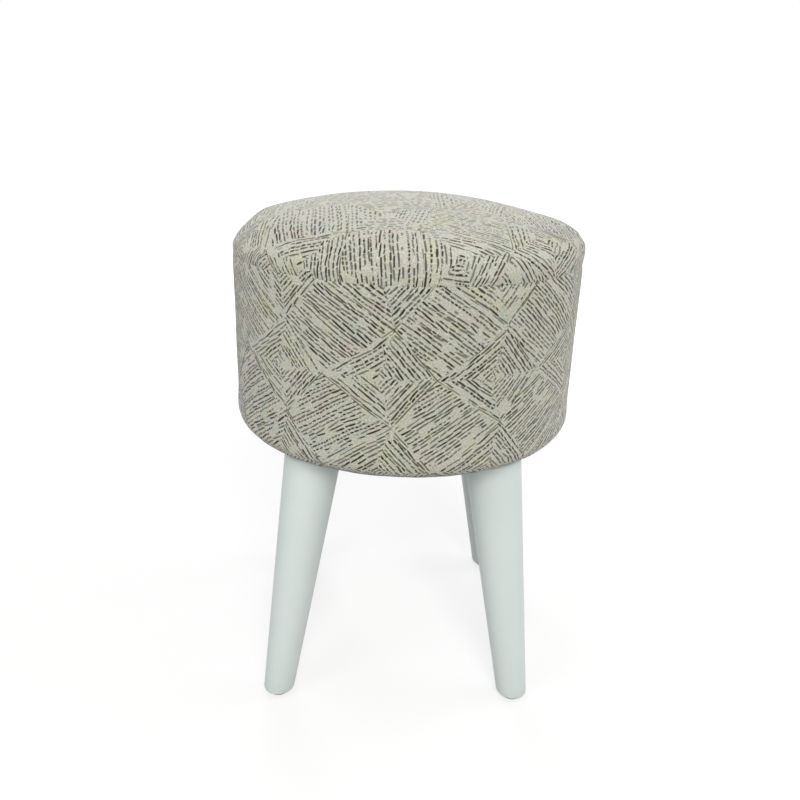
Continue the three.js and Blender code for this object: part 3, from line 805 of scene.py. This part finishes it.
def simulated_folds():
    """Settles the whole cover as cloth and returns the folds that form, on the band's grid and on the top's.

    The cover is one sheet from the hem's raw edge to the middle of the top, held at both and at its seam.
    What is kept is the move outwards, less its mean over a sixth of a turn, eased and capped."""
    sides = 192
    covers = (BAND_PATH, BAND_RINGS), (TOP_PATH, TOP_RINGS[1:])
    grids = [carried(path, rows, all_round(sides)) for path, rows in covers]
    rest, outward = [np.concatenate(halves) for halves in zip(*grids)]
    rest += outward * padding_swell(rest)[..., None]
    draw = np.random.default_rng(SEED + 4)
    start = rest + outward * draw.normal(0, 0.05 * MM, rest.shape[:2])[..., None]
    index = np.arange(rest.shape[0] * sides).reshape(-1, sides)
    seam_ring = len(BAND_RINGS) - 1
    held_rings = [0, 1, 2, seam_ring, -1]
    moved = settled(start.reshape(-1, 3), faces_between(index).reshape(-1, 4), index[held_rings].ravel())
    out = ((moved.reshape(rest.shape) - rest) * outward).sum(axis=-1)
    near = range(-sides // 12, sides // 12 + 1)
    folds = out - sum(np.roll(out, step, axis=1) for step in near) / len(near)
    folds = (np.roll(folds, 1, axis=1) + 2 * folds + np.roll(folds, -1, axis=1)) / 4
    folds = np.clip(FOLD_SHARE * folds, -FOLD_LIMIT, FOLD_LIMIT)
    return folds[:seam_ring + 1], folds[seam_ring:]


def fold_push(folds, rows, angles, along):
    """The simulated folds at some angles and distances along a path, between the simulation's own points."""
    sides = folds.shape[1]
    column = (angles + math.pi) / (2 * math.pi) * sides
    row = np.interp(along, rows, np.arange(len(rows))) + 0 * column
    left, low = np.floor(column).astype(int), np.minimum(np.floor(row).astype(int), len(rows) - 2)
    right_share, high_share = column - left, row - low
    left, beside = left % sides, (left + 1) % sides
    below, above = [
        folds[at, left] * (1 - right_share) + folds[at, beside] * right_share for at in (low, low + 1)
    ]
    return below * (1 - high_share) + above * high_share


def shell(path, rows, angles, push):
    """One layer of cloth on a path carried round the axis, moved along the path's normals by `push`.

    Returns the outer face's rings in the path's order, about every sixth ring of the inner face in the
    opposite order, and the numbers of the rows that the inner face has."""
    outer, outward = carried(path, rows, angles)
    outer = outer + outward * push(outer, rows[:, None])[..., None]
    sparse = np.unique(np.concatenate([np.arange(0, len(rows), 6), [len(rows) - 1]]))[::-1]
    return outer, (outer - outward * CLOTH)[sparse], sparse


def lattice_place(falling, rising):
    """Where on the print the middle of one diamond lies, by its two numbers in the lattice."""
    across, up = falling + rising + 1, falling - rising
    return np.array([across * DIAMOND_WIDE, up * DIAMOND_HIGH]) / 2


def top_push(points, along):
    """How far the top piece and the padding under it are pushed out, at points so far along its path."""
    around = np.arctan2(points[..., 1], points[..., 0])
    on_face = np.clip(1 - (TURNED_IN - along) / SEAM_EASE, 0, 1)
    puckers = seam_puckers(around, np.maximum(along - TURNED_IN, 0))
    return padding_swell(points) + on_face * puckers + fold_push(TOP_FOLDS, TOP_RINGS, around, along)


def band_push(points, along):
    """How far the band and the padding under it are pushed out, at points so far along its path.

    Where the strip's ends are joined at the back, the stitches draw a groove beside a ridge."""
    groove_depth, groove_width = 1.0 * MM, 1.1 * MM
    ridge_height, ridge_width, ridge_place = 0.4 * MM, 2 * MM, 3.2 * MM
    x, y = points[..., 0], points[..., 1]
    around = np.arctan2(y, x)
    on_face = np.clip(1 - (along - BAND_SEAM) / SEAM_EASE, 0, 1)
    puckers = seam_puckers(around, np.maximum(BAND_SEAM - along, 0))
    from_join = np.abs(np.arctan2(x, y)) * SEAT_RADIUS
    groove = groove_depth * bell(from_join, groove_width)
    ridge = ridge_height * bell(from_join - ridge_place, ridge_width)
    underneath = ramp(HEM_PADDED_FROM, along, 10 * MM)
    push = padding_swell(points) * np.clip(along / HEM_END, 0, 1) ** 2
    push += on_face * puckers + fold_push(BAND_FOLDS, BAND_RINGS, around, along) * (1 - underneath)
    return push + (ridge - groove) * (1 - underneath) + hem_pleats(x, y) * underneath


def rows_between(starts, steps, end):
    """Distances along a path, in so many even steps from each start to the next, and then to the end."""
    spans = zip(starts, [*starts[1:], end], steps)
    return np.concatenate([*(np.linspace(*span, endpoint=False) for span in spans), [end]])


def make_top_cloth(finish):
    """The top piece: a disc of cloth eased over the crown and shoulder, its edge turned in at the seam.

    Its own coordinates are polar: distance from the middle along the cloth, in the direction of the angle.
    They are turned, pulled, and moved until a diamond of nested lines has its middle at TOP_RING_PLACE."""
    sides = 600
    near_seam = TURNED_IN + SEAM_FINE
    rows = rows_between([0, SEAM_ALLOWANCE, TURNED_IN, near_seam], [3, 9, 20, 73], TOP_REACH)
    outer, inner, sparse = shell(TOP_PATH, rows, all_round(sides), top_push)
    reach = (TOP_REACH - np.concatenate([rows[sparse], rows]))[:, None]
    way = np.linspace(-math.pi, math.pi, sides + 1) - TOP_PRINT_TURN
    pull = np.array([1, DIAMOND_HIGH / DIAMOND_WIDE])
    ring_way = math.atan2(TOP_RING_PLACE[1], TOP_RING_PLACE[0]) - TOP_PRINT_TURN
    ring_place = math.hypot(*TOP_RING_PLACE) * np.array([math.cos(ring_way), math.sin(ring_way)])
    flat = np.stack([reach * np.cos(way), reach * np.sin(way)], axis=-1)
    maps = (flat - ring_place) * pull + lattice_place(2, 0)
    made = surface("top_cloth", np.concatenate([inner, outer]), finish, maps)
    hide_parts("seat_cover")
    return made


def make_band_cloth(finish):
    """The band: a strip of cloth round the side, joined at the back and gathered under the base.

    Its own coordinates are the distance round the drum from the front and the distance along the cloth. Its
    points stand closer together near the join."""
    sides = 600
    spread = np.linspace(-math.pi, math.pi, 4001)
    density = 1 + 5 * bell((math.pi - np.abs(spread)) * SEAT_RADIUS, 7 * MM)
    share = np.concatenate([[0], np.cumsum((density[1:] + density[:-1]) / 2)])
    from_front = np.interp(np.linspace(0, share[-1], sides + 1), share, spread)
    near_seam, turned_end = BAND_SEAM - SEAM_FINE, BAND_LENGTH - SEAM_ALLOWANCE
    starts = [0, HEM_WIDTH, HEM_END, near_seam, BAND_SEAM, turned_end]
    rows = rows_between(starts, [14, 18, 48, 20, 9, 2], BAND_LENGTH)
    outer, inner, sparse = shell(BAND_PATH, rows, from_front[:-1] - math.pi / 2, band_push)
    along = np.concatenate([rows, rows[sparse]])[:, None] + 0 * from_front
    around = SEAT_RADIUS * from_front + 0 * along
    ring_along = HEM_END + BAND_RING_HEIGHT - SEAT_UNDERSIDE - HEM_RADIUS
    shift = lattice_place(0, 0) - [SEAT_RADIUS * BAND_RING_ANGLE, ring_along]
    maps = np.stack([around, along], axis=-1) + shift
    made = surface("band_cloth", np.concatenate([outer, inner]), finish, maps, ends="loop")
    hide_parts("side_band")
    return made


# Padding

def padding_face(path, rows, push):
    """The face of the padding under a cloth: that cloth's face, moved in by its thickness and a hair more."""
    outer, outward = carried(path, rows, all_round(PADDING_SIDES))
    return outer + outward * (push(outer, rows[:, None]) - CLOTH - CLEAR)[..., None]


def make_seat_cushion(finish):
    """The foam under the top cloth: flat below, crowned above, its lower corner a quarter round."""
    bend = 3 * MM
    angles = all_round(PADDING_SIDES)
    face = padding_face(TOP_PATH, np.linspace(TURNED_IN + 1 * MM, TOP_REACH, 52), top_push)
    swing = np.linspace(-math.pi / 2, 0, 6)[:, None]
    radius = np.hypot(face[0, :, 0], face[0, :, 1]) - bend + bend * np.cos(swing)
    height = CUSHION_BOTTOM + bend * (1 + np.sin(swing)) + 0 * angles
    corner = np.stack([radius * np.cos(angles), radius * np.sin(angles), height], axis=-1)
    under = corner[:1] * np.array([[0, 0, 1], [0.5, 0.5, 1]])[:, None]
    made = surface("seat_cushion", np.concatenate([under, corner, face]), finish)
    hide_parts("seat_foam")


def make_side_wadding(finish):
    """The foam wrapped round the side, under the band: a ring with an upright inner face."""
    top = BAND_SEAM - (SEAM_HEIGHT - WADDING_TOP) + SEAM_ROLL + SEAM_GAP
    face = padding_face(BAND_PATH, np.linspace(HEM_PADDED_FROM, top, 54), band_push)
    inside = SEAT_RADIUS - CLOTH - CLEAR - WADDING
    back = turn(np.full(6, inside), np.linspace(WADDING_TOP, BASE_BOARD_BOTTOM, 6), all_round(PADDING_SIDES))
    made = surface("side_wadding", np.concatenate([face, back]), finish, ends="loop")
    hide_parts("side_foam")


# Under the base

def make_dust_cloth(finish):
    """A disc of thin cloth under the base: it sags a little in the middle and follows the gathers at its rim.

    Each of its points is lowered by a belly, by small radial pleats that grow outwards, by soft lumps and by
    the hem's gathers. Over the leg plates it is pressed flat."""
    angles = all_round(360)
    radius = np.concatenate([np.linspace(0, 100, 40), np.linspace(102, 129, 24)]) * MM
    few = radius[::-4]
    rim_radius = np.array([129.7, 130, 129.7]) * MM
    rim_share = np.array([0.85, 0.5, 0.15])
    belly_depth, belly_radius = 2.4 * MM, 112 * MM
    pleat_count, pleat_height, pleat_radius = 36, 0.35 * MM, 110 * MM

    def sagging(radius, height):
        rings = turn(radius, height, angles)
        x, y = rings[..., 0], rings[..., 1]
        away, around = np.hypot(x, y), np.arctan2(y, x)
        belly = belly_depth * np.clip(1 - (away / belly_radius) ** 2, 0, 1)
        pleats = pleat_height * np.sin(pleat_count * around + 2 * np.sin(3 * around))
        pleats = pleats * ramp(away, 0, pleat_radius) ** 3
        lumps = padding_swell(rings * [1.6, 1.6, 0] + [0.3, 0.1, 0]) * 0.6
        over_hem = ramp(away, 98 * MM, 20 * MM)
        rings[..., 2] -= hem_pleats(x, y) * over_hem + (belly + pleats + lumps) * plate_clearance(x, y)
        return rings

    below = sagging(radius, np.full(len(radius), DUST_CLOTH_TOP - DUST_CLOTH))
    rim = sagging(rim_radius, DUST_CLOTH_TOP - DUST_CLOTH * rim_share)
    above = sagging(few, np.full(len(few), DUST_CLOTH_TOP))
    made = surface("dust_cloth", np.concatenate([below, rim, above[:-1], above[-1:] * [0, 0, 1]]), finish)
    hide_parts("dust_cover")


def make_staples(finish):
    """Wire staples that hold the dust cloth by its rim: a flat crown 10 mm wide with rounded ends.

    Each is an eight-sided rod bent down at both ends, placed at a seeded slant. There are 48 places round the
    rim, and those over the leg plates stay empty."""
    places, wire, half, bend, prong = 48, 0.45 * MM, 5 * MM, 0.8 * MM, 3 * MM
    draw = np.random.default_rng(SEED + 3)
    line = np.vstack([
        [[-half, prong]], arc((-half + bend, bend), bend, math.pi, math.pi * 1.5, 4),
        arc((half - bend, bend), bend, -math.pi / 2, 0, 4), [[half, prong]],
    ])
    ahead = np.gradient(line, axis=0)
    ahead /= np.hypot(*ahead.T)[:, None]
    round_it = np.linspace(0, 2 * math.pi, 8, endpoint=False)
    side = np.column_stack([-ahead[:, 1], ahead[:, 0]])
    section = line[:, None] + wire * np.cos(round_it)[:, None] * side[:, None]
    depth = np.broadcast_to(-1.3 * wire * np.sin(round_it), section.shape[:2])
    rod = np.stack([section[..., 0], depth, section[..., 1]], axis=-1)
    tips = [np.broadcast_to(ring.mean(axis=0), (1, *ring.shape)) for ring in (rod[0], rod[-1])]
    rod = np.concatenate([tips[0], rod, tips[1]])
    parts = []
    for number in range(places):
        angle = 2 * math.pi * (number + draw.uniform(-0.25, 0.25)) / places
        slant, radius = draw.normal(0, 0.12), draw.normal(123.5, 0.9) * MM
        x, y = radius * math.cos(angle), radius * math.sin(angle)
        if plate_clearance(x, y) < 0.6:
            continue
        level = DUST_CLOTH_TOP - DUST_CLOTH - hem_pleats(x, y) - 0.2 * MM
        parts.append(turned_about(rod, angle + math.pi / 2 + slant) + [x, y, level])
    made = surface("dust_cloth_staples", np.stack(parts), finish)


def turned_about(rings, angle):
    """Points turned about the upright axis, as from a corner's own frame to its place on the stool."""
    cosine, sine = math.cos(angle), math.sin(angle)
    return rings @ np.array([[cosine, sine, 0], [-sine, cosine, 0], [0, 0, 1]])


def plate_outline(angles):
    """Distance from a leg plate's middle to its rounded square edge, in each direction."""
    folded = np.abs((angles + math.pi / 4) % (math.pi / 2) - math.pi / 4)
    half, flat = PLATE_WIDTH / 2, PLATE_WIDTH / 2 - PLATE_CORNER
    straight = half / np.cos(folded)
    diagonal = flat * math.sqrt(2)
    turn_off = math.pi / 4 - folded
    chord = np.sqrt(np.maximum(PLATE_CORNER ** 2 - (diagonal * np.sin(turn_off)) ** 2, 0))
    return np.where(folded > math.atan2(flat, half), diagonal * np.cos(turn_off) + chord, straight)


def make_leg_plate(corner, angle, finish):
    """A pressed plate: a rounded square flange round a tilted boss, whose wall runs into both in soft bends.

    The underside is the flange's level less the boss's depth, faded by a smooth step of the distance from the
    boss's middle. The boss's face is square to the leg's axis."""
    angles = all_round(96)
    edge = plate_outline(angles)
    boss = np.concatenate([np.linspace(4.3, 15, 6), np.linspace(15.6, 20.6, 14)]) * MM
    flange = np.concatenate([np.linspace(0.08, 0.9, 8), [0.96]])
    edge_inset = np.array([0.6, 0.15, 0, 0, 0.15, 0.6])[:, None] * MM
    edge_lift = np.array([0, 0.15, 0.6, 1.4, 1.85, 2.0]) * MM
    face = np.vstack([boss[:, None] + 0 * angles, boss[-1] + flange[:, None] * (edge - boss[-1])])
    radius = np.vstack([face, edge - edge_inset, face[::-1]])
    lift = np.concatenate([np.zeros(len(face)), edge_lift, np.full(len(face), PLATE_THICKNESS)])[:, None]
    face_height = LEG_HEAD_HEIGHT + CLEAR * math.cos(SPLAY)
    face_reach = LEG_HEAD_REACH - CLEAR * math.sin(SPLAY)
    boss_reach = PLATE_REACH + (PLATE_BOTTOM - face_height) / 2 * math.tan(SPLAY)
    share = np.clip((radius - boss[-1]) / (edge - boss[-1]), 0, 1)
    x = boss_reach + radius * np.cos(angles) + (PLATE_REACH - boss_reach) * share
    depth = PLATE_BOTTOM - face_height - math.tan(SPLAY) * (x - face_reach)
    pressed = depth * (1 - smooth_step(ramp(radius, 15.5 * MM, 5 * MM)))
    rings = np.stack([x, radius * np.sin(angles), PLATE_BOTTOM - pressed + lift], axis=-1)
    made = surface(f"pressed_leg_plate_{corner}", turned_about(rings, angle), finish, ends="loop")
    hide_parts(f"leg_plate_{corner}")


def make_plate_screws(corner, angle, finish):
    """Four pan-head screws: a domed head with a cross recess, on a shank that runs up to a point.

    The profile is carried round the screw, and the recess lifts the head's face where a point lies near
    either arm of the cross."""
    arm_half, arm_reach, recess_depth = 0.55 * MM, 2.2 * MM, 1.3 * MM
    half = PLATE_WIDTH / 2 - 6 * MM
    near = np.linspace(0, 3, 13)
    dome = -2.4 + 0.35 * (near / 3) ** 2
    head_and_shank = np.array([
        [3.5, -1.75], [3.8, -1.3], [4, -0.7], [4, -0.1], [3.9, 0], [2, 0], [2, 12], [1.2, 14], [0, 16],
    ])
    profile = np.vstack([np.column_stack([near, dome]), head_and_shank]) * MM
    parts = []
    for number, (out, across) in enumerate([(1, 1), (-1, 1), (-1, -1), (1, -1)]):
        slot_turn = 0.4 + 1.1 * number + angle
        rings = turn(*profile.T, all_round(48))
        u = rings[..., 0] * math.cos(slot_turn) + rings[..., 1] * math.sin(slot_turn)
        v = rings[..., 1] * math.cos(slot_turn) - rings[..., 0] * math.sin(slot_turn)
        narrow, wide = np.minimum(np.abs(u), np.abs(v)), np.maximum(np.abs(u), np.abs(v))
        arm = ramp(arm_half, narrow, 0.25 * MM) * ramp(arm_reach, wide, 0.6 * MM)
        rings[..., 2] += recess_depth * arm * (rings[..., 2] < -1.9 * MM)
        parts.append(rings + [PLATE_REACH + out * half, across * half, PLATE_BOTTOM])
    made = surface(f"plate_screws_{corner}", turned_about(np.stack(parts), angle), finish)
    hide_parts(*[f"plate_screw_{corner}_{number}" for number in (1, 2, 3, 4)])


# Legs

def make_leg(corner, angle, finish):
    """A round tapered leg on a leaning axis, its foot cut level.

    Each ring is where a plane cuts the cone. The planes lie level at the foot and turn square to the axis
    further up. The foot's and the head's edges are quarter rounds."""
    angles = all_round(96)
    foot = np.array([FOOT_CUT_REACH, 0, FOOT_CUT])
    head = np.array([LEG_HEAD_REACH, 0, LEG_HEAD_HEIGHT])
    length = np.linalg.norm(head - foot)
    axis = (head - foot) / length
    outward, aside = np.array([math.cos(SPLAY), 0, math.sin(SPLAY)]), np.array([0, 1, 0])
    taper = (LEG_HEAD_RADIUS - LEG_FOOT_RADIUS) / length
    flat_rim = 0.6 * MM
    swing = np.linspace(0, math.pi / 2, 7)
    drop, narrowing = 1 - np.cos(swing), 1 - np.sin(swing)
    wall_rise = np.linspace(8 * MM, length - 6 * MM, 34)
    rise = np.concatenate([
        [0, 0], FOOT_ROUNDING * drop / math.cos(SPLAY), wall_rise,
        length - LEG_HEAD_ROUNDING * drop[::-1], [length, length],
    ])
    inset = np.concatenate([
        [LEG_FOOT_RADIUS, FOOT_ROUNDING + flat_rim], FOOT_ROUNDING * narrowing, 0 * wall_rise,
        LEG_HEAD_ROUNDING * narrowing[::-1], [LEG_HEAD_ROUNDING + flat_rim, LEG_HEAD_RADIUS],
    ])
    level = smooth_step(np.clip(1 - (rise - 5 * MM) / (60 * MM), 0, 1))
    normal = level[:, None] * [0, 0, 1] + (1 - level)[:, None] * axis
    normal /= np.linalg.norm(normal, axis=1)[:, None]
    spoke = np.cos(angles)[:, None] * outward + np.sin(angles)[:, None] * aside
    radius = LEG_FOOT_RADIUS + taper * rise
    tilt = normal @ spoke.T
    climb = -radius[:, None] * tilt / ((normal @ axis)[:, None] + taper * tilt)
    middle = foot + rise[:, None] * axis
    wall = (radius[:, None] + taper * climb)[..., None] * spoke + climb[..., None] * axis
    size = np.linalg.norm(wall, axis=-1)
    rings = middle[:, None] + wall * np.maximum(1 - inset[:, None] / size, 0)[..., None]
    rings[0], rings[-1] = foot, head
    made = surface(f"turned_leg_{corner}", turned_about(rings, angle), finish)
    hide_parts(f"leg_{corner}")


def make_glide(corner, angle, finish):
    """A round moulded glide: flat below with a soft edge, and a shallow groove round its side."""
    profile = np.vstack([
        [[0, 0], [5, 0], [8.4, 0]], arc((9, 1), 1, -math.pi / 2, 0, 6), [[9.85, 1.7], [9.85, 2.0], [10, 2.7]],
        [[9.8, 2.95], [9.4, 3], [0, 3]],
    ]) * MM
    rings = turn(*profile.T, all_round(64)) + [FOOT_CUT_REACH, 0, 0]
    made = surface(f"moulded_glide_{corner}", turned_about(rings, angle), finish)
    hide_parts(f"foot_glide_{corner}")


# Putting it together

BAND_FOLDS, TOP_FOLDS = simulated_folds()
cloth, foam, zinc = printed_cloth(), foam_finish(), zinc_steel()
make_seat_cushion(foam)
make_side_wadding(foam)
top_cloth = make_top_cloth(cloth)
band_cloth = make_band_cloth(cloth)
make_dust_cloth(dust_cloth_finish())
make_staples(zinc)
white_paint, plastic = leg_paint(), glide_plastic()
for corner, angle in CORNERS.items():
    make_leg(corner, angle, white_paint)
    make_glide(corner, angle, plastic)
    make_leg_plate(corner, angle, zinc)
    make_plate_screws(corner, angle, zinc)

inner_finishes = {"drum_skin": hardboard()}
inner_finishes |= dict.fromkeys(["base_board", "top_board"], plywood())
inner_finishes |= dict.fromkeys([f"post_{side}" for side in SIDES], timber())
for end in ("base", "top"):
    inner_finishes |= dict.fromkeys([f"frame_screw_{end}_{side}" for side in SIDES], zinc)
inner_finishes |= dict.fromkeys([f"hanger_bolt_{corner}" for corner in CORNERS], zinc)
for name, finish in inner_finishes.items():
    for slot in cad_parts[name].material_slots:
        slot.material = finish


# Floor and light

def seen_by_camera(node):
    """1 for what the camera sees, straight, mirrored or through glass, and 0 for light that falls."""
    rays = node("LightPath").node.outputs
    seen = node("Math", [rays["Is Camera Ray"], rays["Is Glossy Ray"]], "MAXIMUM")
    return node("Math", [seen, rays["Is Transmission Ray"]], "MAXIMUM")


def floor_finish():
    """Matt pale floor. The camera sees it as white, with the stool's soft shadow kept close to the feet."""
    finish = bpy.data.materials.new("matt_pale_floor")
    finish.use_nodes = True
    finish.node_tree.nodes.clear()
    node = partial(add, finish.node_tree)
    place = node("TexCoord", out="Object")
    away = node("VectorMath", [place], "LENGTH", "Value")
    fade = node("MapRange", [away, 0.45, 1.6, 0.66, 1.0], interpolation_type="SMOOTHSTEP")
    grain = node("TexNoise", {"Vector": place, "Scale": 1 / (3 * MM), "Detail": 2.0})
    tone = node("Mix", {0: grain, 6: paint("a8a8a7"), 7: paint("a3a3a2")}, out=2, data_type="RGBA")
    matt = node("BsdfDiffuse", {"Color": tone})
    glow = node("Emission", {"Strength": node("Math", [seen_by_camera(node), fade], "MULTIPLY")})
    lit = node("AddShader", [matt, glow])
    behind = node("NewGeometry", out="Backfacing")
    node("OutputMaterial", [node("MixShader", [behind, lit, node("BsdfTransparent")])])
    return finish


def make_floor():
    """A level square of floor under the glides, its face up."""
    half = 6
    mesh = bpy.data.meshes.new("floor")
    corners = [(-half, -half, 0), (half, -half, 0), (half, half, 0), (-half, half, 0)]
    mesh.from_pydata(corners, [], [(0, 1, 2, 3)])
    mesh.materials.append(floor_finish())
    floor = bpy.data.objects.new("floor", mesh)
    bpy.context.scene.collection.objects.link(floor)


def make_light():
    """Even white surroundings and five large soft lamps: in front, overhead, left, right and behind."""
    world = bpy.data.worlds.new("studio")
    world.use_nodes = True
    world.node_tree.nodes.clear()
    node = partial(add, world.node_tree)
    strength = node("MapRange", [seen_by_camera(node), 0.0, 1.0, 0.24, 1.0])
    node("OutputWorld", [node("Background", {"Color": (1, 1, 1, 1), "Strength": strength})])
    bpy.context.scene.world = world
    aim = Vector((0, 0, 0.3))
    lamps = [
        ("key", (0.2, -1.9, 1.5), 1.1, 28, "fffefa"),
        ("overhead", (0.1, 0.2, 2.2), 1.8, 8.2, "f5f0fa"),
        ("fill", (-1.3, -1.1, 1.3), 1.3, 7, "fbfdff"),
        ("right", (1.7, 0.3, 1.0), 1.3, 9, "fbfdff"),
        ("back", (-0.4, 2.0, 0.8), 1.5, 22, "fbfdff"),
    ]
    for name, place, size, power, tint in lamps:
        lamp = bpy.data.lights.new(name, "AREA")
        lamp.shape, lamp.size, lamp.energy, lamp.color = "DISK", size, power, paint(tint)[:3]
        holder = bpy.data.objects.new(name, lamp)
        facing = (Vector(place) - aim).to_track_quat("Z", "Y").to_matrix().to_4x4()
        holder.matrix_world = Matrix.Translation(place) @ facing
        bpy.context.scene.collection.objects.link(holder)


make_floor()
make_light()
bpy.context.scene.view_settings.view_transform = "Standard"
